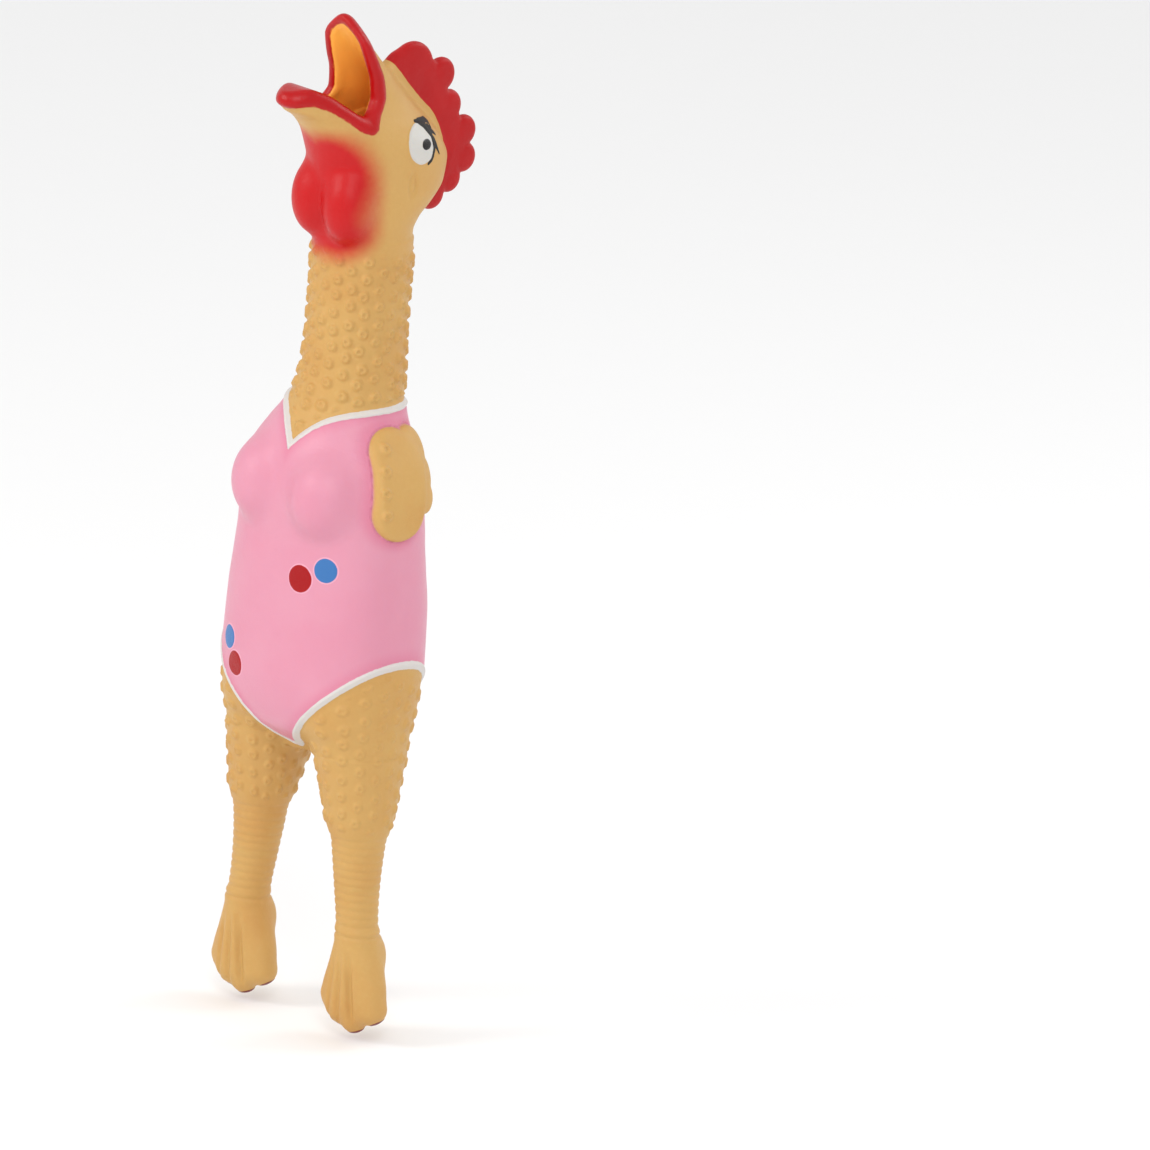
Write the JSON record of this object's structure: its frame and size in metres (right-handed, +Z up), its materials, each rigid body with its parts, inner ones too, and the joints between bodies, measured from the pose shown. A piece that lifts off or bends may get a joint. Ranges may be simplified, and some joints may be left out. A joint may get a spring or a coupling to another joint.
{
  "type": "rubber chicken",
  "caption": "Squeezable latex rubber chicken in a painted swimsuit, with a long neck, open beak, dangling legs and a voice box in its throat.",
  "frame": {"origin": "middle of the belly, where a hand holds and squeezes the toy (mount belly_grip)", "axes": "+Z up towards the beak, -Y where the chicken faces, +X its left side"},
  "size_m": [0.11, 0.12, 0.47],
  "materials": {
    "latex_skin": "satin latex",
    "latex_pink": "painted latex, satin",
    "piping_white": "painted latex, satin",
    "paint_red": "painted latex, satin",
    "paint_blue": "painted latex, satin",
    "eye_white": "painted latex, satin",
    "eye_black": "painted latex, satin",
    "nail_red": "painted latex, satin",
    "voice_plastic": "moulded polyethylene",
    "reed_film": "thin film"
  },
  "bodies": {
    "torso": {"blue_spots": "paint_blue", "hip_sleeve_left": "latex_skin", "hip_sleeve_right": "latex_skin", "leg_piping_left": "piping_white", "leg_piping_right": "piping_white", "neck_base_sleeve": "latex_skin", "neckline_piping": "piping_white", "red_spots": "paint_red", "torso_skin": "latex_pink", "wing_left": "latex_skin", "wing_right": "latex_skin"},
    "neck": {"neck_skin": "latex_skin", "head_base_sleeve": "latex_skin"},
    "lower_beak": {"lower_beak_skin": "latex_skin", "lower_beak_lip": "paint_red"},
    "reed": {"reed": "reed_film"},
    "thigh_left": {"thigh_left": "latex_skin", "knee_sleeve_left": "latex_skin"},
    "shank_left": {"shank_left": "latex_skin", "ankle_sleeve_left": "latex_skin"},
    "foot_left": {"foot_left": "latex_skin", "toenails_left": "nail_red"},
    "thigh_right": {"thigh_right": "latex_skin", "knee_sleeve_right": "latex_skin"},
    "shank_right": {"shank_right": "latex_skin", "ankle_sleeve_right": "latex_skin"},
    "foot_right": {"foot_right": "latex_skin", "toenails_right": "nail_red"},
    "head": {"beak_web": "latex_skin", "comb": "paint_red", "eye_left": "eye_white", "eye_right": "eye_white", "eyelash_left": "eye_black", "eyelash_right": "eye_black", "head_skin": "latex_skin", "pupil_left": "eye_black", "pupil_right": "eye_black", "reed_block": "voice_plastic", "reed_clamp": "voice_plastic", "upper_beak_lip": "paint_red", "voice_box_cap": "voice_plastic", "voice_box_housing": "voice_plastic", "wattle_left": "paint_red", "wattle_right": "paint_red"}
  },
  "joints": [
    {"name": "neck_bend", "type": "hinge", "parent": "torso", "child": "neck", "pos_m": [0, 0.005, 0.093], "axis": [1, 0, 0], "range_deg": [-38, 38], "stiffness_Nm_per_rad": 0.6, "deforming": ["neck_base_sleeve"]},
    {"name": "head_nod", "type": "hinge", "parent": "neck", "child": "head", "pos_m": [0, 0.005, 0.1445], "axis": [1, 0, 0], "range_deg": [-32, 32], "stiffness_Nm_per_rad": 0.4, "deforming": ["head_base_sleeve"]},
    {"name": "beak_close", "type": "hinge", "parent": "head", "child": "lower_beak", "pos_m": [0, -0.015, 0.212], "axis": [-1, 0, 0], "range_deg": [0, 18], "stiffness_Nm_per_rad": 0.08, "deforming": ["beak_web"]},
    {"name": "reed_beat", "type": "hinge", "parent": "head", "child": "reed", "pos_m": [0, 0.0037, 0.1647], "axis": [1, 0, 0], "range_deg": [-1.8, 1.8], "stiffness_Nm_per_rad": 0.0005},
    {"name": "hip_swing_left", "type": "hinge", "parent": "torso", "child": "thigh_left", "pos_m": [0.0285, 0.001, -0.065], "axis": [1, 0, 0], "range_deg": [-45, 40], "stiffness_Nm_per_rad": 0.35, "deforming": ["hip_sleeve_left"]},
    {"name": "knee_bend_left", "type": "hinge", "parent": "thigh_left", "child": "shank_left", "pos_m": [0.0325, 0.001, -0.114], "axis": [1, 0, 0], "range_deg": [-42, 42], "stiffness_Nm_per_rad": 0.15, "deforming": ["knee_sleeve_left"]},
    {"name": "ankle_bend_left", "type": "hinge", "parent": "shank_left", "child": "foot_left", "pos_m": [0.0347, 0.001, -0.157], "axis": [1, 0, 0], "range_deg": [-42, 42], "stiffness_Nm_per_rad": 0.06, "deforming": ["ankle_sleeve_left"]},
    {"name": "hip_swing_right", "type": "hinge", "parent": "torso", "child": "thigh_right", "pos_m": [-0.0285, 0.001, -0.065], "axis": [1, 0, 0], "range_deg": [-45, 40], "stiffness_Nm_per_rad": 0.35, "deforming": ["hip_sleeve_right"]},
    {"name": "knee_bend_right", "type": "hinge", "parent": "thigh_right", "child": "shank_right", "pos_m": [-0.0325, 0.001, -0.114], "axis": [1, 0, 0], "range_deg": [-42, 42], "stiffness_Nm_per_rad": 0.15, "deforming": ["knee_sleeve_right"]},
    {"name": "ankle_bend_right", "type": "hinge", "parent": "shank_right", "child": "foot_right", "pos_m": [-0.0347, 0.001, -0.157], "axis": [1, 0, 0], "range_deg": [-42, 42], "stiffness_Nm_per_rad": 0.06, "deforming": ["ankle_sleeve_right"]}
  ]
}
